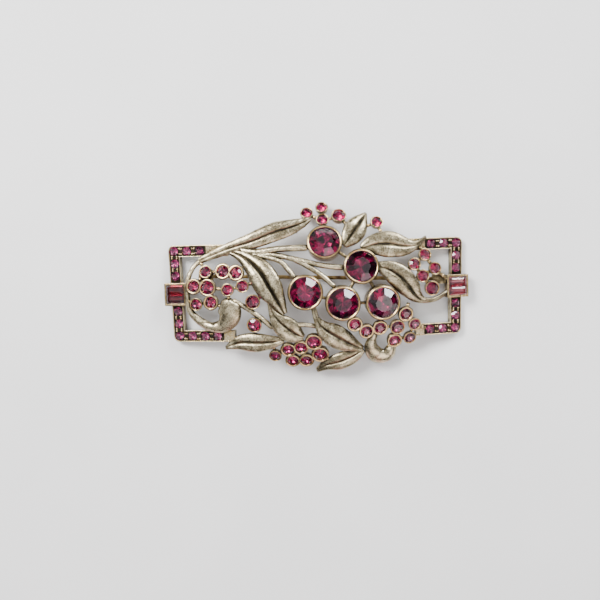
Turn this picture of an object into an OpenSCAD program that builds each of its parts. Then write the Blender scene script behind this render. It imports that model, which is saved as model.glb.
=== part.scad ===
// Rhinestone hair clip: a domed openwork spray of leaves and stones between two
// C-shaped stone-set end frames, held in the hair by a hinged blunt rod that
// closes into a roll-over catch. Millimetres. +X runs along the clip, +Y towards
// its upper edge, +Z out of its face. The origin is the middle of the rest plane.

/* [Overall] */
// Length over the two baguette boxes
clip_length = 72; // [60:1:90]
// Height of the ornament, from the lowest leaf tip to the highest stone cup
clip_height = 40.4; // [34:0.2:50]
// Height of the middle surface of the ornament above the rest plane
crown_z = 8.4; // [7.6:0.1:10.5]
// Radius of the arch across a clip of the layout's height; other heights keep its rise
arch_across = 32; // [28:1:48]
// Radius of the arch along a clip of the layout's length; other lengths keep its rise
arch_along = 110; // [95:5:200]

/* [Stones] */
// Diameter of the five large round stones
large_d = 7.2; // [6:0.1:8.7]
// Diameter of the medium round stones
medium_d = 2.95; // [2.4:0.05:3.5]
// Diameter of the small round stones
small_d = 2.45; // [2:0.05:2.95]
// Diameter of the stones set in the end frames
pave_d = 2.1; // [1.7:0.05:2.3]
// Length of a baguette
baguette_l = 4.3; // [3.6:0.1:4.7]
// Width of a baguette
baguette_w = 2.1; // [1.7:0.1:2.6]
// Clearance between a stone and the metal around it
stone_gap = 0.05; // [0.03:0.01:0.1]

/* [Settings] */
// Wall of a large cup
large_wall = 0.5; // [0.35:0.05:0.7]
// Wall of a small or medium cup
small_wall = 0.25; // [0.2:0.05:0.35]
// Depth of a large cup below the girdle of its stone
large_depth = 3; // [2.8:0.1:3.4]
// Height of a large cup's rim above the girdle
large_rim = 0.35; // [0.2:0.05:0.5]
// Height of a small cup's rim above the girdle
small_rim = 0.15; // [0.1:0.05:0.3]
// Diameter of the bars and beads that join the cups
link_d = 0.8; // [0.5:0.1:1]
// Wall of a baguette box
box_wall = 0.5; // [0.35:0.05:0.7]
// Floor of a baguette box
box_floor = 0.6; // [0.4:0.1:1]

/* [End frames] */
// Width of a frame rail
rail_w = 2.8; // [2.6:0.1:3.4]
// Thickness of a frame rail
rail_t = 1.6; // [1.4:0.1:2]
// Tilt of the end frames to the rest plane, in degrees
frame_tilt = 14; // [10:1:16]
// Clear space between the stones in the side rails
side_gap = 0.85; // [0.6:0.05:1]
// Clear space between the stones in the arms
arm_gap = 1.1; // [0.8:0.05:1.3]

/* [Leaves and stems] */
// Height of a leaf's two lobes above its middle surface
lobe_h = 0.95; // [0.7:0.05:1.2]
// Depth of the groove along a leaf
groove_h = 0.5; // [0.3:0.05:0.7]
// Thickness of a leaf below its middle surface
leaf_back = 0.5; // [0.4:0.05:0.8]

/* [Clasp] */
// Diameter of the rod
rod_d = 0.9; // [0.8:0.05:1]
// Height of the rod's axis above the rest plane
rod_z = 1.4; // [1.3:0.05:1.6]
// Slant of the rod across the back, in degrees
rod_slant = 2.4; // [0:0.2:4]
// Diameter of the hinge rivet
rivet_d = 0.8; // [0.6:0.05:0.9]
// Running clearance of the hinge and of the catch, on the radius
run_gap = 0.05; // [0.03:0.01:0.08]
// Length of the catch along the rod
catch_l = 3; // [2.6:0.1:3.4]
// Angle that the lock sleeve turns through, in degrees
lock_turn = 120; // [90:5:130]

/* [Hidden] */

PEWTER = [0.62, 0.58, 0.47];
GILT = [0.8, 0.64, 0.32];
AMETHYST = [0.5, 0.05, 0.28];
ROSE = [0.72, 0.35, 0.48];

// Number of sides on round solids and on stones
$fn = 48;
GIRDLE_SIDES = 16;
PAVE_SIDES = 8;
TABLE_SIDES = 8;
// A cut runs this far past the face it opens
CUT = 1;

// ---- Layout: places on the dome are given for a clip of this length and height
LAYOUT_L = 72;
LAYOUT_H = 40.4;
// Height of the layout's middle line above the middle of the ornament
LAYOUT_MID_Y = 0.49;
grow_x = clip_length / LAYOUT_L;
grow_y = clip_height / LAYOUT_H;
// Leaves and stems widen with the layout
grow_width = sqrt(grow_x * grow_y);
bend_along = arch_along * grow_x * grow_x;
bend_across = arch_across * grow_y * grow_y;

// Stone proportions, as shares of the stone's diameter
TABLE_SHARE = 0.58;
CROWN_SHARE = 0.17;
GIRDLE_SHARE = 0.03;
PAVILION_SHARE = 0.38;
// Share of the stone's radius that rests on its ledge
LEDGE_SHARE = 0.22;
SEAT_GAP = 0.02;

// A small cup reaches this far below its stone's point
CUP_FOOT = 0.1;
// Inward taper of a cup's foot
CUP_TAPER = 0.15;
// Height of the girdles above the dome's middle surface
LARGE_LIFT = 1.1;
SMALL_LIFT = 0.75;
// The links meet the cups this far below the girdles
LINK_DROP = 0.55;

// Places of the large cups, and the bridges between them
LARGE_CUPS = [
    [2.1, 11.4, large_d], [10.4, 5.6, large_d], [-2.7, 0, large_d], [5.9, -2.8, large_d],
    [15.2, -3, large_d]
];
BRIDGES = [[0, 1], [1, 3], [1, 4], [2, 3], [3, 4]];

// Places of the other cups: [x, y, stone diameter]. A link runs from one cup of its list to
// another cup, or to a place on a leaf, scroll or frame beside it
LEFT_CUPS = [
    [-25.8, 5.3, small_d], [-21.7, 5.3, small_d], [-18.6, 4.9, small_d],
    [-28.8, 1.9, small_d], [-25.5, 1.6, medium_d], [-20.7, 1, small_d],
    [-17.2, 1.8, small_d], [-28.3, -2.3, small_d], [-24.8, -1.9, small_d]
];
LEFT_LINKS = [
    [0, [-27.3, 7.8]], [0, 1], [1, 2], [2, [-16.2, 7]], [0, 3], [0, 4], [3, 4], [4, 5], [5, 6],
    [6, [-14.6, 2.6]], [5, [-20.6, -1.6]], [7, 8], [8, [-22, -3.2]], [7, [-30.4, -1.6]],
    [3, [-30.4, 2.6]]
];
LOWER_LEFT_CUPS = [[-14.9, -1.9, medium_d], [-14.8, -7.4, medium_d]];
LOWER_LEFT_LINKS = [
    [0, [-12.4, -0.4]], [1, [-13.3, -5.6]]
];
TOP_CUPS = [
    [-1.8, 18.2, small_d], [1.8, 19.4, small_d], [1.8, 16.6, small_d],
    [5.7, 17.4, medium_d], [14.5, 15.6, small_d]
];
TOP_LINKS = [
    [0, 2], [1, 2], [2, [2, 14.9]], [3, 2], [3, [8.1, 14.8]], [0, [-1.6, 16.2]], [4, [12, 15]],
    [4, [15.6, 13.2]]
];
RIGHT_CUPS = [
    [25.5, 7.7, small_d], [22.9, 5.6, small_d], [27.8, 4.4, small_d],
    [24.8, 2.8, small_d], [27, -0.2, medium_d]
];
RIGHT_LINKS = [
    [0, [24.6, 9.8]], [0, 1], [0, 2], [1, 3], [2, 3], [3, 4], [1, [20.2, 3.6]],
    [2, [30.7, 1.9]]
];
LOWER_RIGHT_CUPS = [
    [20.6, -6, small_d], [22.7, -8.5, small_d], [18.6, -9, medium_d],
    [18, -12.3, small_d], [21.6, -11.8, small_d]
];
LOWER_RIGHT_LINKS = [
    [0, [21.4, -3.4]], [0, 1], [0, 2], [2, 3], [3, 4], [1, 4], [1, [25.4, -9.8]],
    [3, [16.3, -14.4]]
];
MIDDLE_CUPS = [[8.6, -7.9, small_d], [11.3, -9.7, small_d], [14.5, -9, small_d]];
MIDDLE_LINKS = [
    [0, [7.6, -6]], [0, 1], [1, 2], [2, [13.2, -10.6]], [2, [16.95, -9]]
];
BOTTOM_CUPS = [
    [-10.2, -15.1, small_d], [-7.1, -13.7, small_d], [-4.1, -13.2, small_d],
    [-1.1, -11.9, medium_d], [-6.1, -16.5, small_d], [-2.9, -16.5, small_d],
    [0.4, -15.1, medium_d]
];
BOTTOM_LINKS = [
    [0, [-10.6, -12.8]], [0, 1], [1, 2], [2, 3], [1, 4], [4, 5], [5, 6], [2, 5],
    [6, [2.6, -16.9]], [2, [-4, -10.4]], [3, [1.8, -11]]
];

// Leaves: [x, y, width, lift above the dome] along the midrib, from stalk to tip
LONG_LEAF = [
    [-27.2, 7.8, 1.5, 0.3], [-23.6, 9.2, 2.4, 0.2], [-20, 10.5, 3.2, 0.4],
    [-14.6, 12.1, 4.6, 0.7], [-9.6, 13.9, 5.4, 0.7], [-5.8, 14.9, 4.5, 0.5],
    [-2.8, 15.9, 2.6, 0.3], [-0.9, 16.9, 0.8, 0.3]
];
LEFT_LEAF = [
    [-19.8, 9.7, 1.4, 0], [-17.6, 8.9, 2.6, 0.1], [-15.4, 7.4, 4, 0.4],
    [-13, 4.8, 5.8, 0.6], [-11, 1.3, 6, 0.6], [-9.2, -1.9, 3.8, 0.4], [-7.7, -4.9, 1.6, 0.1]
];
TOP_LEAF = [[6.6, 10.4, 2, 0.2], [8.3, 12.5, 5.8, 0.4], [10.1, 14.9, 6, 0.6], [12.1, 17.6, 0.8, 0.5]];
UPPER_RIGHT_LEAF = [
    [10.6, 9.4, 2.4, 0.1], [13.4, 10.3, 5.8, 0.4], [17, 10.3, 7.5, 0.6], [20.6, 9.7, 5.6, 0.4],
    [23.4, 9.9, 2.4, 0.4], [25.9, 11.7, 0.7, 0.9]
];
RIGHT_LEAF = [
    [13.9, 5.6, 2.2, 0.2], [16.9, 4.4, 5.4, 0.5], [19.5, 2.5, 6.8, 0.6], [21.4, 0.3, 6.2, 0.5],
    [23, -1.8, 4, 0.3], [24.9, -2.9, 2, 0.1], [27.6, -2.9, 1.5, 0], [30.8, -1.4, 1.4, -0.4]
];
FRAME_LEAF = [
    [-21.8, -12.9, 0.8, 0.5], [-18.4, -11.6, 4.2, 0.4], [-14.8, -11.6, 5.5, 0.5],
    [-11.2, -11.6, 4, 0.4], [-8, -11.2, 1.4, 0.2]
];
CENTRE_LEAF = [
    [-3.4, -10.7, 1.8, 0.1], [-5, -9.9, 5, 0.4], [-6.9, -8.5, 6.6, 0.6],
    [-8.8, -6.8, 5.2, 0.6], [-10.2, -4.9, 2.6, 0.5], [-11.2, -2.3, 0.7, 0.5]
];
LOWER_LEAF = [
    [-0.9, -3.6, 1.5, -0.4], [-0.2, -6.4, 1.9, 0], [1.3, -8.6, 4.6, 0.3], [3.6, -10.2, 6.6, 0.6],
    [6.2, -11.8, 6, 0.6], [8.5, -13.1, 3.6, 0.4], [10.4, -14, 1.6, 0.2]
];
BOTTOM_LEAF = [
    [10.6, -14.2, 1.4, 0.2], [8.2, -15.6, 4.2, 0.5], [5, -16.9, 5.2, 0.6],
    [1.8, -17.8, 3.2, 0.4], [-0.4, -19.2, 1.1, 0.2]
];

// Stems and scrolls: [x, y, width, lift above the dome] along the middle
LEFT_SCROLL = [
    [-26.8, 8, 1.1, 0], [-28.8, 6.2, 1.1, 0], [-30.1, 3.4, 1.2, 0], [-30.4, 0, 1.2, 0],
    [-29.9, -3.8, 1.5, 0], [-28, -6.1, 1.9, 0], [-25.2, -7.7, 2.2, 0], [-22.4, -7.6, 3.3, 0.1],
    [-20.7, -5.8, 4.8, 0.3], [-20.4, -3.8, 5.4, 0.4], [-20.6, -2, 3.8, 0.3], [-20.5, -0.8, 1.1, 0.1]
];
RIGHT_SCROLL = [
    [13.4, -10, 1.5, 0.1], [12.6, -11.9, 2.2, 0.1], [12.5, -13.9, 3.4, 0.2],
    [14, -15.9, 4, 0.3], [16.3, -15.8, 3.4, 0.3], [17.2, -14.1, 2.4, 0.2], [17.1, -13.1, 1.1, 0.1]
];
BUD_STEM = [[-19.6, -1.5, 1.2, 0], [-16.4, -3.4, 1.2, 0], [-13.5, -5.6, 1.2, 0], [-10.4, -8.3, 1.2, 0]];
UPPER_STEM = [[-17.4, 10, 1.8, 0.1], [-13.4, 9.5, 1.7, 0.1], [-8.6, 10.1, 1.5, 0.1], [-1.7, 10.2, 1.5, 0]];
MIDDLE_STEM = [
    [-17.2, 9.4, 1.7, 0], [-13.6, 8.9, 1.5, 0], [-9.4, 8.7, 1.3, 0], [-4, 7.4, 1.3, 0], [1.6, 6, 1.3, 0],
    [6.3, 5.4, 1.3, 0]
];
LOWER_STEM = [[-6.4, 8.2, 1.1, 0], [-2.8, 6.4, 1.2, 0], [1, 3.9, 1.2, 0], [4.2, 0.9, 1.2, 0]];
SHORT_STEM = [
    [-16.6, 8.8, 1.6, -0.1], [-12.4, 8.5, 1.4, 0], [-8.6, 7.4, 1.2, 0], [-6.6, 5.4, 1.2, 0],
    [-5, 3.2, 1.1, 0]
];
TWIGS = [
    [[-6.4, 13.4, 1.1, 0.2], [-3.4, 13.1, 1.1, 0.1], [-1.5, 12.4, 1.1, 0]],
    [[-4.9, -7.6, 1.1, 0], [-2.6, -7.7, 1.1, -0.1], [0, -8.2, 1.1, -0.2]],
    [[1, -13.4, 1, -0.2], [3, -14.2, 1.1, -0.2], [5.2, -15.2, 1, -0.1]]
];

// Shape of a leaf across its width: [place from edge to edge, share of height]
LOBE_EDGE = 0.78;
LOBE_MID = 0.36;
BACK_EDGE = 0.75;
// A narrow stretch of a leaf keeps this share of its full thickness
THIN_SHARE = 0.45;
STEM_SIDES = 8;
STEM_STEPS = 4;
LEAF_STEPS = 3;
// Height of a stem or scroll, as a share of its width and at most
STEM_HIGH_SHARE = 0.95;
SCROLL_MAX_H = 2.4;

// End frames, along their middle lines
// The upper corners stand this much farther out than the lower ones
CORNER_LEAN = 0.6;
// The frames are filed flat by this much where they rest
FILED = 0.12;
// Height of the rails' middle lines above and below the layout's middle line
FRAME_HALF_H = 10.1;
// The boxes reach this far out past the side rails' middle lines, along the frames
BOX_OVERHANG = 2.4;
frame_z = (rail_w * sin(frame_tilt) + rail_t * cos(frame_tilt)) / 2 - FILED;
LEFT_ARMS = [13.4, 13.8];
RIGHT_ARMS = [13, 10.1];
LEFT_ARM_STONES = [2, 3];
RIGHT_ARM_STONES = [2, 2];
SIDE_STONES = 2;
// Depth and edge of the channel that holds the stones
CHANNEL_DEPTH = 0.25;
CHANNEL_EDGE = 0.25;
// The girdles of the frame stones lie this far below the rails' faces
PAVE_SINK = 0.15;
side_pitch = pave_d + side_gap;
arm_pitch = pave_d + arm_gap;

// Baguette boxes
BAG_TABLE_SHARE = 0.62;
BAG_CROWN = 0.45;
BAG_GIRDLE = 0.15;
BAG_PAVILION = 1;
BAG_KEEL = 0.3;
box_l = baguette_l + 2 * (stone_gap + box_wall);
box_w = 2 * baguette_w + 3 * stone_gap + 2 * box_wall;
box_pocket = BAG_GIRDLE + BAG_PAVILION + SEAT_GAP;
box_h = box_floor + box_pocket;
// The upper outer edges of the boxes are the ends of the clip
frame_x = clip_length / 2 - BOX_OVERHANG * cos(frame_tilt) - (rail_t / 2 + box_h) * sin(frame_tilt);

// Clasp, on a line that crosses the back at rod_slant
ROD_MID_Y = 2.9;
// The hinge, the middle of the catch and the rod's tip stand this far in from the clip's ends
HINGE_IN = 10.1;
CATCH_IN = 6.9;
TIP_IN = 5.2;
HUB_R = 0.85;
HUB_W = 1.5;
HUB_SIDE_GAP = 0.08;
EAR_T = 0.55;
EAR_R = 0.95;
HEAD_R = 0.75;
HEAD_T = 0.3;
PLATE_T = 0.6;
HINGE_PLATE_L = 3.6;
CATCH_PLATE_L = 3.8;
CATCH_PLATE_W = 2;
// The base plates' upper faces lie this far below the dome's middle surface
PLATE_DROP = 0.3;
CATCH_R = 1.15;
CATCH_WALL = 0.25;
CATCH_LIP = 0.35;
CATCH_WEB_W = 1;
SLOT_W = 1.15;
SLEEVE_WALL = 0.3;
TAB_T = 0.6;
TAB_L = 0.8;
TAB_R = 2.05;
// The thumb tab points this far below level when the catch is open, in degrees
TAB_START = 8;
// Spare room for the tab at each end of its window, in degrees
TAB_SPARE = 3;
hinge_u = HINGE_IN - clip_length / 2;
catch_u = clip_length / 2 - CATCH_IN;
tip_u = clip_length / 2 - TIP_IN;
catch_in_r = CATCH_R - CATCH_WALL;
sleeve_r = catch_in_r - run_gap;
sleeve_in_r = sleeve_r - SLEEVE_WALL;
sleeve_l = catch_l - 2 * (CATCH_LIP + HUB_SIDE_GAP);
// Angle from the middle of the thumb tab to its window's ends
tab_room = asin(TAB_T / 2 / catch_in_r) + TAB_SPARE;

// ---- The dome
function spot(p) = [p[0] * grow_x, p[1] * grow_y];
function arch(r, d) = r - sqrt(r * r - d * d);
function dome_z(p) = crown_z - arch(bend_across, p[1]) - arch(bend_along, p[0]);
function unit(v) = v / norm(v);
function dome_up(p) = unit([
    p[0] / sqrt(bend_along * bend_along - p[0] * p[0]),
    p[1] / sqrt(bend_across * bend_across - p[1] * p[1]),
    1
]);
function above(p, lift) = [p[0], p[1] - LAYOUT_MID_Y, dome_z(p) + lift];

// Stands its children on the dome at a layout place, square to the surface
module on_dome(place, lift) {
    p = spot(place);
    up = dome_up(p);
    turn = atan2(up[1], up[0]);
    translate(above(p, lift))
        rotate([0, acos(up[2]), turn])
            rotate([0, 0, -turn])
                children();
}

// A round bar between two points
module bar(a, b, d) {
    v = b - a;
    translate(a)
        rotate([0, acos(v[2] / norm(v)), atan2(v[1], v[0])])
            cylinder(h = norm(v), d = d);
}

// ---- Lofted leaves and stems
// A smooth curve through every point of a list, t from 0 to 1
function curve(p, t) =
    let (
        n = len(p) - 1,
        u = t * n,
        i = min(floor(u), n - 1),
        f = u - i,
        a = p[max(i - 1, 0)],
        b = p[i],
        c = p[i + 1],
        d = p[min(i + 2, n)]
    )
    0.5 * (2 * b + (c - a) * f + (2 * a - 5 * b + 4 * c - d) * f * f + (3 * b - a - 3 * c + d) * f * f * f);

// Sideways direction of a route at t, level with the dome
function across(route, t) =
    let (
        step = 0.01,
        q0 = spot(curve(route, max(t - step, 0))),
        q1 = spot(curve(route, min(t + step, 1))),
        p = spot(curve(route, t))
    )
    unit(cross(dome_up(p), [q1[0] - q0[0], q1[1] - q0[1], dome_z(q1) - dome_z(q0)]));

// Places one cross-section, given as [share of half width, height] pairs
function ring(route, t, section) =
    let (
        at = curve(route, t),
        p = spot(at),
        side = across(route, t),
        up = dome_up(p)
    )
    [for (s = section) above(p, at[3]) + side * (s[0] * at[2] * grow_width / 2) + up * s[1]];

function widest(route) = max([for (q = route) q[2]]);

function leaf_section(share) = [
    [-1, 0], [-LOBE_EDGE, lobe_h * 0.75 * share], [-LOBE_MID, lobe_h * share],
    [0, (lobe_h - groove_h) * share],
    [LOBE_MID, lobe_h * share], [LOBE_EDGE, lobe_h * 0.75 * share], [1, 0],
    [BACK_EDGE, -leaf_back * share], [-BACK_EDGE, -leaf_back * share]
];

function stem_section(width) = [
    for (k = [0:STEM_SIDES - 1])
        let (a = -360 * k / STEM_SIDES)
        [cos(a), sin(a) * min(width * grow_width * STEM_HIGH_SHARE, SCROLL_MAX_H) / 2]
];

// Joins rings of points, one after another, into a closed solid
module loft(rings) {
    n = len(rings[0]);
    last = len(rings) - 1;
    points = [for (r = rings) each r];
    sides = [
        for (i = [0:last - 1], k = [0:n - 1])
            let (a = i * n + k, b = i * n + (k + 1) % n)
            each [[a, a + n, b], [b, a + n, b + n]]
    ];
    polyhedron(points, concat(
        sides,
        [[for (k = [0:n - 1]) k]],
        [[for (k = [n - 1:-1:0]) last * n + k]]
    ));
}

module leaf(route) {
    steps = (len(route) - 1) * LEAF_STEPS;
    full = widest(route);
    loft([
        for (i = [0:steps])
            let (t = i / steps, share = THIN_SHARE + (1 - THIN_SHARE) * curve(route, t)[2] / full)
            ring(route, t, leaf_section(share))
    ]);
}

module stem(route) {
    steps = (len(route) - 1) * STEM_STEPS;
    loft([
        for (i = [0:steps])
            let (t = i / steps)
            ring(route, t, stem_section(curve(route, t)[2]))
    ]);
}

// ---- Stones and their cups, with the girdle at z = 0
module stone(d, sides) {
    half_girdle = d * GIRDLE_SHARE / 2;
    hull() {
        translate([0, 0, half_girdle])
            rotate(180 / TABLE_SIDES)
                linear_extrude(d * CROWN_SHARE)
                    circle(d = d * TABLE_SHARE, $fn = TABLE_SIDES);
        translate([0, 0, -half_girdle])
            linear_extrude(2 * half_girdle)
                circle(d = d, $fn = sides);
        translate([0, 0, -half_girdle - d * PAVILION_SHARE])
            linear_extrude(half_girdle)
                circle(r = half_girdle, $fn = 4);
    }
}

function seat_r(d) = d / 2 * (1 - LEDGE_SHARE);
function ledge_z(d) = -d * GIRDLE_SHARE / 2 - d * PAVILION_SHARE * LEDGE_SHARE - SEAT_GAP;
function point_z(d) = d * (GIRDLE_SHARE / 2 + PAVILION_SHARE);
function cup_r(d, wall) = d / 2 + stone_gap + wall;

// The room that a stone needs: a bore, a ledge and an open back
module seat(d, depth) {
    translate([0, 0, ledge_z(d)])
        cylinder(h = CUT - ledge_z(d), r = d / 2 + stone_gap);
    translate([0, 0, -depth - CUT])
        cylinder(h = depth + 2 * CUT, r = seat_r(d));
}

module cup_body(d, wall, depth, rim) {
    translate([0, 0, -depth])
        cylinder(h = depth + rim, r1 = cup_r(d, wall) - CUP_TAPER, r2 = cup_r(d, wall));
}

function small_depth(d) = point_z(d) + CUP_FOOT;

// A link's end: in the wall of a cup, or at a place on the dome
function link_place(cups, end) = spot(is_list(end) ? end : cups[end]);
function link_level(cups, end, lift) =
    let (p = link_place(cups, end))
    above(p, lift) - dome_up(p) * LINK_DROP;
function link_inset(cups, end, wall) = is_list(end) ? 0 : cup_r(cups[end][2], wall) - wall / 2;

module link(cups, ends, wall, lift) {
    a = link_level(cups, ends[0], lift);
    b = link_level(cups, ends[1], lift);
    way = unit(b - a);
    inset = [for (e = ends) link_inset(cups, e, wall)];
    if (norm(b - a) > inset[0] + inset[1])
        bar(a + way * inset[0], b - way * inset[1], link_d);
}

// A cluster of small cups and its links
module cluster(cups, links) {
    color(PEWTER)
        difference() {
            union() {
                for (c = cups)
                    on_dome(c, SMALL_LIFT)
                        cup_body(c[2], small_wall, small_depth(c[2]), small_rim);
                for (ends = links)
                    link(cups, ends, small_wall, SMALL_LIFT);
            }
            for (c = cups)
                on_dome(c, SMALL_LIFT)
                    seat(c[2], small_depth(c[2]));
        }
}

module cluster_stones(cups) {
    color(AMETHYST)
        for (c = cups)
            on_dome(c, SMALL_LIFT)
                stone(c[2], PAVE_SIDES);
}

module large_cup(i) {
    color(PEWTER)
        difference() {
            on_dome(LARGE_CUPS[i], LARGE_LIFT)
                cup_body(large_d, large_wall, large_depth, large_rim);
            for (c = LARGE_CUPS)
                on_dome(c, LARGE_LIFT)
                    seat(large_d, large_depth);
        }
}

module cup_bridges() {
    color(PEWTER)
        for (ends = BRIDGES)
            link(LARGE_CUPS, ends, large_wall, LARGE_LIFT);
}

module large_stone(i) {
    color(AMETHYST)
        on_dome(LARGE_CUPS[i], LARGE_LIFT)
            stone(large_d, GIRDLE_SIDES);
}

// ---- End frames: x runs inwards from the side rail, z out of the rails' faces
// side is -1 for the left frame and 1 for the right one
module at_frame(side) {
    translate([0, -LAYOUT_MID_Y, frame_z])
        mirror([side > 0 ? 1 : 0, 0, 0])
            translate([-frame_x, 0, 0])
                rotate([0, -frame_tilt, 0])
                    children();
}

half_h = FRAME_HALF_H * grow_y;
// Corners of the middle line, upper and lower
function corner(k) = [(k == 0 ? -1 : 1) * CORNER_LEAN / 2, k == 0 ? half_h : -half_h];
function arm_end(k, arms) = corner(k) + [arms[k] * grow_x, 0];
function side_stone(k, n) = corner(k) + unit(corner(1 - k) - corner(k)) * n * side_pitch;
function pave_places(counts) = [
    for (k = [0:1])
        each concat(
            [corner(k)],
            [for (n = [1:SIDE_STONES]) side_stone(k, n)],
            [for (n = [1:counts[k]]) corner(k) + [n * arm_pitch, 0]]
        )
];

// A straight strip of a given width between two points
module strip(a, b, width) {
    v = b - a;
    translate(a)
        rotate(atan2(v[1], v[0]))
            translate([0, -width / 2])
                square([norm(v), width]);
}

module c_outline(arms, width) {
    strip(corner(0), corner(1), width);
    for (k = [0:1]) {
        strip(corner(k), arm_end(k, arms), width);
        translate(corner(k))
            circle(d = width);
    }
}

module end_frame(side, arms, counts) {
    color(PEWTER)
        difference() {
            at_frame(side)
                difference() {
                    translate([0, 0, -rail_t / 2])
                        linear_extrude(rail_t)
                            c_outline(arms, rail_w);
                    translate([0, 0, rail_t / 2 - CHANNEL_DEPTH])
                        linear_extrude(CUT)
                            c_outline([for (k = [0:1]) (counts[k] + 0.5) * arm_pitch / grow_x],
                                rail_w - 2 * CHANNEL_EDGE);
                    for (p = pave_places(counts))
                        translate([p[0], p[1], rail_t / 2 - PAVE_SINK])
                            seat(pave_d, rail_t);
                }
            translate([-clip_length, -clip_height, -CUT])
                cube([2 * clip_length, 2 * clip_height, CUT]);
        }
}

module pave_stones(side, counts) {
    color(AMETHYST)
        at_frame(side)
            for (p = pave_places(counts))
                translate([p[0], p[1], rail_t / 2 - PAVE_SINK])
                    stone(pave_d, PAVE_SIDES);
}

// The boxes stand on the side rails, with their outer faces at the clip's ends
module at_box(side) {
    at_frame(side)
        translate([box_l / 2 - BOX_OVERHANG, 0, rail_t / 2])
            children();
}

module baguette_box(side) {
    pocket = [baguette_l + 2 * stone_gap, 2 * baguette_w + 3 * stone_gap, box_pocket + CUT];
    color(PEWTER)
        at_box(side)
            difference() {
                translate([-box_l / 2, -box_w / 2, 0])
                    cube([box_l, box_w, box_h]);
                translate([-pocket[0] / 2, -pocket[1] / 2, box_floor])
                    cube(pocket);
            }
}

module baguette() {
    hull() {
        translate([-baguette_l / 2, -baguette_w / 2, -BAG_GIRDLE])
            cube([baguette_l, baguette_w, BAG_GIRDLE]);
        linear_extrude(BAG_CROWN)
            square([baguette_l * BAG_TABLE_SHARE, baguette_w * BAG_TABLE_SHARE], center = true);
        translate([0, 0, -BAG_GIRDLE - BAG_PAVILION])
            linear_extrude(BAG_PAVILION)
                square([baguette_l * BAG_TABLE_SHARE, BAG_KEEL], center = true);
    }
}

module baguettes(side) {
    color(side < 0 ? AMETHYST : ROSE)
        at_box(side)
            for (k = [-1, 1])
                translate([0, k * (baguette_w + stone_gap) / 2, box_h])
                    baguette();
}

// ---- Clasp: u runs along the rod
module on_rod(u) {
    translate([0, ROD_MID_Y - LAYOUT_MID_Y, rod_z])
        rotate([0, 0, -rod_slant])
            translate([u, 0, 0])
                children();
}

// A cylinder across the rod, centred on it
module across_rod(r, width) {
    rotate([90, 0, 0])
        cylinder(h = width, r = r, center = true);
}

// Layout place of the rod, and the upper face of a base plate above the rod's axis
function rod_y(u) = ROD_MID_Y - u * sin(rod_slant);
function plate_top(u) = dome_z([u, rod_y(u)]) - PLATE_DROP - rod_z;

// The base plate of the hinge or the catch, soldered under the cups and level with the dome there
module base_plate(u, size) {
    translate([0, 0, plate_top(u)])
        rotate([-asin(rod_y(u) / bend_across), asin(u / bend_along), 0])
            translate([-size[0] / 2, -size[1] / 2, -PLATE_T])
                cube([size[0], size[1], PLATE_T]);
}

module hinge_bracket() {
    ear_y = HUB_W / 2 + HUB_SIDE_GAP;
    color(GILT)
        on_rod(hinge_u)
            difference() {
                union() {
                    base_plate(hinge_u, [HINGE_PLATE_L, 2 * (ear_y + EAR_T)]);
                    for (k = [0, 1])
                        mirror([0, k, 0]) {
                            translate([0, ear_y + EAR_T / 2, 0])
                                across_rod(EAR_R, EAR_T);
                            translate([-EAR_R, ear_y, 0])
                                cube([2 * EAR_R, EAR_T, plate_top(hinge_u) - PLATE_T / 2]);
                        }
                }
                across_rod(rivet_d / 2, 2 * (ear_y + EAR_T) + CUT);
            }
}

module hinge_rivet() {
    shank = HUB_W + 2 * (HUB_SIDE_GAP + EAR_T);
    color(GILT)
        on_rod(hinge_u) {
            across_rod(rivet_d / 2, shank);
            for (k = [-1, 1])
                translate([0, k * (shank + HEAD_T) / 2, 0])
                    across_rod(HEAD_R, HEAD_T);
        }
}

module clasp_bar() {
    color(GILT)
        on_rod(hinge_u)
            difference() {
                union() {
                    across_rod(HUB_R, HUB_W);
                    rotate([0, 90, 0])
                        cylinder(h = tip_u - hinge_u, d = rod_d);
                    translate([tip_u - hinge_u, 0, 0])
                        sphere(d = rod_d);
                }
                across_rod(rivet_d / 2 + run_gap, HUB_W + CUT);
            }
}

// A tube along the rod, centred on the catch
module catch_tube(r, length) {
    rotate([0, 90, 0])
        cylinder(h = length, r = r, center = true);
}

// The way out for the rod, straight down
module rod_slot(length) {
    translate([-length / 2, -SLOT_W / 2, -CATCH_R - CUT])
        cube([length, SLOT_W, CATCH_R + CUT]);
}

// A wedge about the rod that the thumb tab sweeps, below level
module tab_window() {
    width = TAB_L + 4 * run_gap;
    rotate([90, 0, 90])
        translate([0, 0, -width / 2])
            rotate(-TAB_START - lock_turn - tab_room)
                rotate_extrude(angle = lock_turn + 2 * tab_room)
                    translate([catch_in_r / 2, 0])
                        square([CATCH_R + CUT, width]);
}

module catch_body() {
    color(GILT)
        on_rod(catch_u)
            difference() {
                union() {
                    base_plate(catch_u, [CATCH_PLATE_L, CATCH_PLATE_W]);
                    catch_tube(CATCH_R, catch_l);
                    translate([-catch_l / 2, -CATCH_WEB_W / 2, 0])
                        cube([catch_l, CATCH_WEB_W, plate_top(catch_u) - PLATE_T / 2]);
                }
                catch_tube(catch_in_r, catch_l - 2 * CATCH_LIP);
                catch_tube(rod_d / 2 + 2 * run_gap, catch_l + CUT);
                rod_slot(catch_l + CUT);
                tab_window();
            }
}

module lock_sleeve() {
    color(GILT)
        on_rod(catch_u)
            difference() {
                union() {
                    catch_tube(sleeve_r, sleeve_l);
                    rotate([-TAB_START, 0, 0])
                        translate([-TAB_L / 2, 0, -TAB_T / 2])
                            cube([TAB_L, TAB_R, TAB_T]);
                }
                catch_tube(sleeve_in_r, sleeve_l + CUT);
                rod_slot(sleeve_l + CUT);
            }
}

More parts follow.
